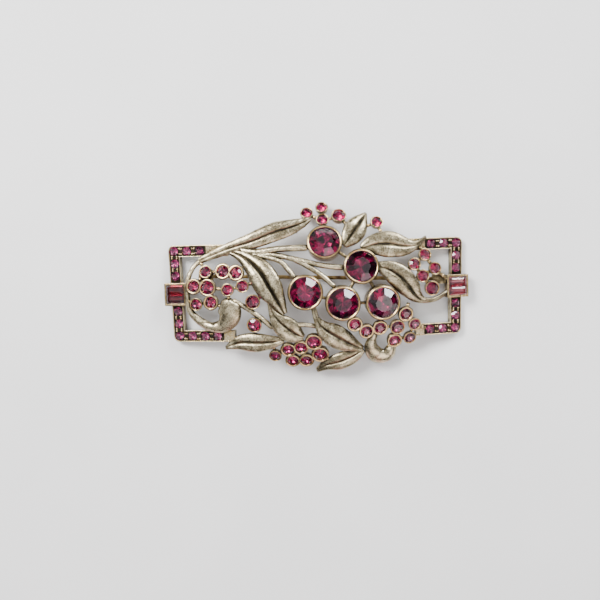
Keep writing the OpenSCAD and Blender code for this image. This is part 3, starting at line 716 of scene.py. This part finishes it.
def rings_of(node, n):
    """The rings of n points that a lofted CAD node runs through, for each of its solids, in order from
    one end to the other."""
    bm = cad_mesh(node)
    bm.normal_update()
    runs = []
    for group in islands(bm.verts):
        ring = rim_loop(end_cap(group, n))
        rings = []
        used = set()
        while ring:
            rings.append([v.co.copy() for v in ring])
            used.update(ring)
            ring = next_ring(ring, used)
        runs.append(rings)
    bm.free()
    return runs


def between(values, t):
    """Catmull-Rom through a list of vectors or numbers, t from 0 to 1."""
    n = len(values) - 1
    u = t * n
    i = min(int(u), n - 1)
    f = u - i
    a, b, c, d = values[max(i - 1, 0)], values[i], values[i + 1], values[min(i + 2, n)]
    square = (2 * a - 5 * b + 4 * c - d) * f * f
    cube = (3 * b - a - 3 * c + d) * f * f * f
    return 0.5 * (2 * b + (c - a) * f + square + cube)


def smooth_run(values):
    """Evens out the small steps between neighbouring rings."""
    out = list(values)
    for _ in range(2):
        inner = [(a + 2 * b + c) / 4 for a, b, c in zip(out, out[1:], out[2:])]
        out = [out[0]] + inner + [out[-1]]
    return out


def run_length(points):
    return sum((a - b).length for a, b in zip(points, points[1:]))


def skin(bm, rows, wear_and_light_rows):
    """Quads between rows of points, with both ends closed."""
    wear_and_light = wear_and_light_layer(bm)
    grid = []
    for row, wear_and_light_amount in zip(rows, wear_and_light_rows):
        made = [bm.verts.new(p) for p in row]
        for v, amount in zip(made, wear_and_light_amount):
            v[wear_and_light] = amount
        grid.append(made)
    n = len(rows[0])
    for row, following in zip(grid, grid[1:]):
        for k in range(n):
            after = (k + 1) % n
            bm.faces.new((row[k], row[after], following[after], following[k])).smooth = True
    bm.faces.new(grid[0])
    bm.faces.new(list(reversed(grid[-1])))


def leaf_spine(run):
    """What a leaf's rings say along its length: the middle, half the width, the way up, and how high the
    lobes, the groove and the back stand over the middle."""
    widest = max(run, key=lambda ring: max((p - q).length for p in ring for q in ring))
    low = min(range(LEAF_CORNERS), key=lambda k: widest[k].z + widest[(k + 1) % LEAF_CORNERS].z)
    spine = []
    for ring in run:
        # corners 0 and 6 are the edges, 2 and 4 on the lobes, 3 in the groove, 7 and 8 on the back
        p = [ring[(low + 2 + k) % LEAF_CORNERS] for k in range(LEAF_CORNERS)]
        mid = (p[0] + p[6]) / 2
        side = (p[6] - p[0]) / 2
        up = (p[2] + p[4]) / 2 - mid
        up -= side * up.dot(side) / side.length_squared
        up.normalize()
        level = mid.dot(up)
        lobe = (p[2] + p[4]).dot(up) / 2 - level
        back = (p[7] + p[8]).dot(up) / 2 - level
        spine.append((mid, side, up, lobe, p[3].dot(up) - level, back))
    mids, sides, ups, lobes, grooves, backs = zip(*spine)
    return mids, sides, ups, smooth_run(lobes), smooth_run(grooves), smooth_run(backs)


def leaf_section(mid, side, up, lobe, groove, back, full, along, seed):
    """The points round a leaf at one place, with their wear and painted light: over the top from edge to
    edge, and back underneath. It is full (1) where the leaf is wide, and less towards its tips."""
    half = side.length
    row, wear_and_light_amount = [], []
    for k in range(LEAF_TOP + 1):
        v = -1 + 2 * k / LEAF_TOP
        v = math.copysign(abs(v) ** 1.12, v)
        a = abs(v)
        rise = math.sin(math.pi * min(1.0, (1 - a) / 0.98) ** 0.62 / 2) ** 0.9
        swell = rise * (1 - 0.1 * math.cos(math.pi * a))
        cut = math.exp(-(a / GROOVE_HALF) ** 1.5) * (1 - (groove * GROOVE_KEPT) / max(lobe, 1e-6)) * full
        height = lobe * 1.04 * swell * (1 - cut)
        wave = math.sin(VEIN_RATE * (along - VEIN_LEAN * a * half))
        vein = wave * math.sin(math.pi * min(1, a * 1.1)) * VEIN_HEIGHT * full
        line = LINE_HEIGHT * noise.noise(Vector((along * 0.35, v * half * 6.5, seed)))
        row.append(mid + side * v * LEAF_FULLER + up * (height + vein + line))
        # edges and crests are brightened as rubbed wear, and the crests also carry a painted highlight; the
        # groove is darkened with patina
        rubbed = max(0.0, 0.6 * math.exp(-((a - 0.97) / 0.06) ** 2) + 0.45 * swell - 0.3)
        wear_and_light_amount.append(rubbed - 1.3 * math.exp(-(a / 0.11) ** 2) * full)
    for k in range(1, LEAF_BACK):
        v = 1 - 2 * k / LEAF_BACK
        arch = 1 - (1 - (1 - v * v) ** 0.6) ** 2
        row.append(mid + side * (v * 0.96) + up * back * arch * (1 - 0.25 * (1 - v * v) * full))
        wear_and_light_amount.append(0.0)
    return row, wear_and_light_amount


def leaf(node, seed):
    """A leaf: two full lobes, a sharp groove between them, faint side veins and a hollowed back."""
    (run,) = rings_of(node, LEAF_CORNERS)
    spine = leaf_spine(run)
    mids, sides = spine[:2]
    length = run_length(mids)
    widest = max(side.length for side in sides)
    count = max(24, int(length / LEAF_STEP))
    rows, wear_and_light_rows = [], []
    for i in range(count + 1):
        t = i / count
        mid, side, up, lobe, groove, back = (between(values, t) for values in spine)
        full = min(1.0, side.length / widest * 1.25)
        row, wear_and_light_amount = leaf_section(mid, side, up.normalized(), lobe, groove, back, full, t * length, seed)
        rows.append(row)
        wear_and_light_rows.append(wear_and_light_amount)
    bm = bmesh.new()
    skin(bm, rows, wear_and_light_rows)
    roughen(bm, 1.1, 0.045, seed)
    roughen(bm, 0.35, 0.012, seed + 9)
    piece(node + "_chased", bm, (CAST,), (node,))


def stem(node, seed):
    """Stems and scrolls: a full round section with softly rounded ends."""
    bm = bmesh.new()
    for run in rings_of(node, STEM_CORNERS):
        mids = [sum(ring, Vector()) / STEM_CORNERS for ring in run]
        first = [(ring[0] - ring[4]) / 2 for ring in run]
        second = [(ring[2] - ring[6]) / 2 for ring in run]
        count = max(16, int(run_length(mids) / STEM_STEP))
        rows, wear_and_light_rows = [], []
        for i in range(count + 1):
            t = i / count
            mid, a, b = between(mids, t), between(first, t), between(second, t)
            edge = min(i, count - i)
            scale = ROUNDED_END[edge] if edge < len(ROUNDED_END) else 1.0
            angles = [-math.tau * k / STEM_SIDES for k in range(STEM_SIDES)]
            row = [mid + (a * math.cos(w) + b * math.sin(w)) * scale * STEM_FULLER for w in angles]
            rows.append(row)
            # faces turned up are brightened, partly as rubbed wear and partly as a painted highlight from
            # the light overhead
            wear_and_light_rows.append([max(0.0, 0.55 * (p - mid).normalized().z - 0.15) for p in row])
        skin(bm, rows, wear_and_light_rows)
    roughen(bm, 0.9, 0.05, seed)
    roughen(bm, 0.3, 0.012, seed + 5)
    piece(node + "_modelled", bm, (CAST,), (node,))


# ---------------------------------------------------------------- end frames and boxes

# Size of the cells in which a casting's shape is rebuilt with soft edges, in mm
CAST_CELL = 0.07
# Stones whose middles lie this far out along Y, in mm, are on a frame's arms
ARM_Y = 9
# The grains raised on an arm past its last stone, in mm: radius, distance to each side of the arm's
# middle, where they start and stop, and their spacing
ARM_GRAIN_R = 0.17
ARM_GRAIN_SIDE = 1.12
ARM_GRAIN_START = 1.75
ARM_GRAIN_STOP = 0.25
ARM_GRAIN_STEP = 0.4
# The four grains between two stones of a rail, in mm: radius, distances across and along the rail
STONE_GRAIN_R = 0.23
STONE_GRAIN_ACROSS = (-0.62, 0.6)
STONE_GRAIN_ALONG = (-0.24, 0.24)
# Stones farther apart than this are no neighbours, in mm
NEIGHBOURS = 3.6
# How far below a rail's top its rubbed face and its dark channel reach, in mm
RUBBED_DEPTH = 0.15
CHANNEL_DEPTH = 0.42
# The lowest that a frame may reach, in mm, so that it keeps clear of the floor
FRAME_BOTTOM = 0.03


def arm_grains(bm, arm, cast, up, top):
    """Two rows of small grains on an arm, from past its last stone to the arm's end."""
    last = min(arm, key=lambda seat: abs(seat.centre.x)).centre
    corner = max(arm, key=lambda seat: abs(seat.centre.x)).centre
    inward = (last - corner).normalized()
    across = up.cross(inward)
    reach = max((p - last).dot(inward) for p in cast if abs((p - last).dot(across)) < 1.5)
    along = ARM_GRAIN_START
    while along < reach - ARM_GRAIN_STOP:
        for side in (-ARM_GRAIN_SIDE, ARM_GRAIN_SIDE):
            at = last + inward * along + across * side
            bead(bm, at + up * (top - at.dot(up) - 0.05), ARM_GRAIN_R, 0.7, 0.8, up)
        along += ARM_GRAIN_STEP


def stone_grains(bm, places):
    """Four grains between each two stones that are neighbours along a rail, but not round a corner."""
    for i, a in enumerate(places):
        for b in places[i + 1:]:
            way = b.centre - a.centre
            round_corner = min(abs(way.x), abs(way.y)) > 0.3 * way.length
            if way.length > NEIGHBOURS or round_corner:
                continue
            along = way.normalized()
            across = a.axis.cross(along).normalized()
            mid = (a.centre + b.centre) / 2
            for u in STONE_GRAIN_ACROSS:
                for v in STONE_GRAIN_ALONG:
                    bead(bm, mid + across * u + along * v, STONE_GRAIN_R, 0.8, 0.95, a.axis)


def end_frame(side, seed):
    """An end frame: soft-edged rails with a dark channel, and raised grains by the stones."""
    node = side + "_frame"
    places = seats(side + "_pave_stones")
    bm = soft_copy(node, CAST_CELL, 2)
    wear_and_light = wear_and_light_layer(bm)
    up = places[0].axis
    cast = [v.co.copy() for v in bm.verts]
    top = max(p.dot(up) for p in cast)
    for y_side in (-1, 1):
        arm_grains(bm, [seat for seat in places if seat.centre.y * y_side > ARM_Y], cast, up, top)
    stone_grains(bm, places)
    roughen(bm, 0.8, 0.035, seed)
    bm.normal_update()
    for v in bm.verts:
        # the grains have their wear already
        if v[wear_and_light] > 0:
            continue
        level = top - v.co.dot(up)
        if level < RUBBED_DEPTH:
            v[wear_and_light] = 0.65
        elif level < CHANNEL_DEPTH and v.normal.dot(up) > 0.3:
            v[wear_and_light] = -1.2
        v.co.z = max(v.co.z, FRAME_BOTTOM)
    piece(node + "_cast", bm, (CAST,), (node,))


def baguette_box(side, seed):
    """The deep box of the baguettes, rubbed along its top."""
    node = side + "_box"
    bm = soft_copy(node, CAST_CELL, 2)
    wear_and_light = wear_and_light_layer(bm)
    roughen(bm, 0.9, 0.04, seed)
    up = seats(side + "_pave_stones")[0].axis
    top = max(v.co.dot(up) for v in bm.verts)
    for v in bm.verts:
        v[wear_and_light] = 0.5 if top - v.co.dot(up) < 0.1 else 0.0
    piece(node + "_cast", bm, (CUPS,), (node,))


def step_cut(bm, points, up, tone, rng):
    """An oblong stone: a table, two steps down to the girdle and two steps below it."""
    long_way = (Vector((1, 0, 0)) - up * up.x).normalized()
    wide_way = up.cross(long_way)
    u = [p.dot(long_way) for p in points]
    v = [p.dot(wide_way) for p in points]
    heights = [p.dot(up) for p in points]
    mid_u, mid_v = (min(u) + max(u)) / 2, (min(v) + max(v)) / 2
    half_u, half_v = (max(u) - min(u)) / 2, (max(v) - min(v)) / 2
    top, low = max(heights), min(heights)
    girdle = [height for height, far in zip(heights, u) if abs(far - mid_u) > half_u * 0.99]
    # each step: the shares of the half length and half width that it keeps, and its height
    steps = [
        (0.6, 0.46, top),
        (0.82, 0.74, max(girdle) + (top - max(girdle)) * 0.62),
        (1, 1, max(girdle)),
        (1, 1, min(girdle)),
        (0.86, 0.72, min(girdle) + (low - min(girdle)) * 0.45),
        (0.64, 0.16, low),
    ]
    crown_steps = 3
    rings = []
    for keep_u, keep_v, height in steps:
        rings.append([
            bm.verts.new(long_way * (mid_u + a * keep_u * half_u) + wide_way * (mid_v + b * keep_v * half_v)
                         + up * height)
            for a, b in ((-1, -1), (1, -1), (1, 1), (-1, 1))
        ])
    facet(bm, rings[0], tone, EVEN_TONE, GLASS)
    # the facets below the crown get random foil tones as painted reflections
    facet(bm, rings[-1], tone, rng.random(), BACK)
    for i, (ring, below) in enumerate(zip(rings, rings[1:])):
        material = GLASS if i < crown_steps else BACK
        for k in range(4):
            after = (k + 1) % 4
            facet(bm, (ring[k], ring[after], below[after], below[k]), tone, rng.random(), material)


def baguettes(side, glass, back, seed):
    """The two step-cut stones of a box."""
    node = side + "_baguettes"
    rng = random.Random(seed)
    up = seats(side + "_pave_stones")[0].axis
    source = cad_mesh(node)
    bm = bmesh.new()
    tone = bm.faces.layers.float.new("tone")
    for group in islands(source.verts):
        step_cut(bm, [v.co for v in group], up, tone, rng)
    source.free()
    piece(node + "_cut", bm, (glass, back), (node,), smooth=False)


# ---------------------------------------------------------------- clasp

def clasp_piece(node, body, voxel, passes, seed, metal):
    """A plain metal part with softened edges."""
    bm = soft_copy(node, voxel, passes)
    roughen(bm, 1.4, 0.02, seed)
    piece(node + "_finished", bm, (metal,), (node,), body=body)


# ---------------------------------------------------------------- the clip

CLUSTERS = ("left", "lower_left", "top", "right", "lower_right", "middle", "bottom")
LEAVES = ("long", "left", "top", "upper_right", "right", "frame", "centre", "lower", "bottom")
STEMS = ("left_scroll", "right_scroll", "bud_stem", "upper_stem", "middle_stem", "lower_stem",
         "short_stem", "twigs")

# the last number of most calls is a seed, and each piece has its own
for number in range(1, 6):
    large_setting(number)
for i, name in enumerate(CLUSTERS):
    cluster(name + "_cups", name + "_stones", 11 + 13 * i)
    stones(name + "_stones", SMALL_GLASS, SMALL_FOIL, 100 + i)
for i, name in enumerate(LEAVES):
    leaf(name + "_leaf", 3 + 5 * i)
for i, name in enumerate(STEMS):
    stem(name, 60 + 7 * i)
for i, side in enumerate(("left", "right"), start=1):
    end_frame(side, 30 + i)
    baguette_box(side, 33 + i)
    stones(side + "_pave_stones", PAVE_GLASS, PAVE_FOIL, 200 + i)
baguettes("left", DARK_GLASS, DARK_FOIL, 5)
baguettes("right", PALE_GLASS, PALE_FOIL, 9)
bridges = soft_copy("cup_bridges", 0.06, 4)
roughen(bridges, 0.5, 0.05, 4)
piece("cup_bridges_soldered", bridges, (CUPS,), ("cup_bridges",))
clasp_piece("clasp_bar", "clasp_bar", 0.07, 3, 71, GILT)
clasp_piece("hinge_bracket", ORNAMENT, 0.07, 2, 72, CUPS)
clasp_piece("hinge_rivet", ORNAMENT, 0.05, 2, 73, GILT)
clasp_piece("catch_body", ORNAMENT, 0.06, 2, 74, CUPS)
clasp_piece("lock_sleeve", "lock_sleeve", 0.05, 2, 75, GILT)


# ---------------------------------------------------------------- stage, lights and camera

# The floor lies this far under the clip, in metres
FLOOR_GAP = 0.00002
# The camera looks at a point beside the middle of the clip's box, at this height, in metres
LOOK_BESIDE = Vector((-0.00397, -0.00256))
LOOK_HEIGHT = 0.005
# Its distance in metres, and its lean and roll in radians
CAMERA_DISTANCE = 0.21095
CAMERA_LEAN = 0.09
CAMERA_ROLL = -0.0314


def floor():
    """A pale matt sheet under the clip, slightly clouded."""
    m = Nodes("pale_floor")
    cloud = m.remap(m.noise(0.02, 3, 0.5), 0.3, 0.7)
    m.link(m.mix(cloud, (0.74, 0.735, 0.73), (0.78, 0.775, 0.77)), m.bsdf.inputs["Base Color"])
    m.bsdf.inputs["Roughness"].default_value = 0.75
    bm = bmesh.new()
    bmesh.ops.create_grid(bm, x_segments=8, y_segments=8, size=1.2)
    mesh = bpy.data.meshes.new("floor")
    bm.to_mesh(mesh)
    bm.free()
    mesh.materials.append(m.mat)
    obj = bpy.data.objects.new("floor", mesh)
    obj.location.z = CAD_BOX[0][2] - FLOOR_GAP
    bpy.context.scene.collection.objects.link(obj)


def softbox(name, direction, distance, size, power, colour=(1, 1, 1)):
    """A rectangular light that faces the clip's origin from a direction, in metres and watts."""
    light = bpy.data.lights.new(name, "AREA")
    light.shape = "RECTANGLE"
    light.size, light.size_y = size
    light.energy = power
    light.color = colour
    obj = bpy.data.objects.new(name, light)
    way = Vector(direction).normalized()
    obj.location = way * distance
    obj.rotation_euler = way.to_track_quat("Z", "Y").to_euler()
    bpy.context.scene.collection.objects.link(obj)


def camera():
    """Down on the clip, leaning slightly from its upper edge."""
    middle = (Vector(CAD_BOX[0]) + Vector(CAD_BOX[1])) / 2
    target = Vector((middle.x + LOOK_BESIDE.x, middle.y + LOOK_BESIDE.y, LOOK_HEIGHT))
    back = Vector((0, math.tan(CAMERA_LEAN), 1)).normalized()
    level_right = Vector((0, 1, 0)).cross(back).normalized()
    level_up = back.cross(level_right)
    right = level_right * math.cos(CAMERA_ROLL) + level_up * math.sin(CAMERA_ROLL)
    up = level_up * math.cos(CAMERA_ROLL) - level_right * math.sin(CAMERA_ROLL)
    turned = Matrix((right, up, back)).transposed().to_4x4()
    data = bpy.data.cameras.new("camera")
    data.lens = 54
    data.sensor_width = 36
    data.clip_start = 0.01
    data.clip_end = 20
    obj = bpy.data.objects.new("camera", data)
    obj.matrix_world = Matrix.Translation(target + back * CAMERA_DISTANCE) @ turned
    bpy.context.scene.collection.objects.link(obj)
    bpy.context.scene.camera = obj


def world():
    """Surroundings that are brighter overhead than at the sides, as under a tent."""
    studio = bpy.data.worlds.new("studio")
    studio.use_nodes = True
    tree = studio.node_tree
    back = tree.nodes["Background"]
    back.inputs["Color"].default_value = (0.9, 0.91, 0.93, 1)
    coords = tree.nodes.new("ShaderNodeTexCoord")
    split = tree.nodes.new("ShaderNodeSeparateXYZ")
    ramp = tree.nodes.new("ShaderNodeMapRange")
    for key, value in (("From Min", 0.3), ("From Max", 1.0), ("To Min", 0.05), ("To Max", 1.3)):
        ramp.inputs[key].default_value = value
    tree.links.new(coords.outputs["Generated"], split.inputs["Vector"])
    tree.links.new(split.outputs["Z"], ramp.inputs["Value"])
    tree.links.new(ramp.outputs["Result"], back.inputs["Strength"])
    bpy.context.scene.world = studio


floor()
world()
softbox("key_softbox", (-0.75, 0.75, 1.0), 0.5, (0.2, 0.2), 5.5)
softbox("fill_softbox", (0.35, -0.61, 0.72), 0.6, (0.5, 0.5), 2.0, (1, 0.9, 0.87))
softbox("window_softbox", (0.56, 0.7, 0.45), 0.5, (0.24, 0.16), 3.6, (0.94, 0.97, 1))
camera()
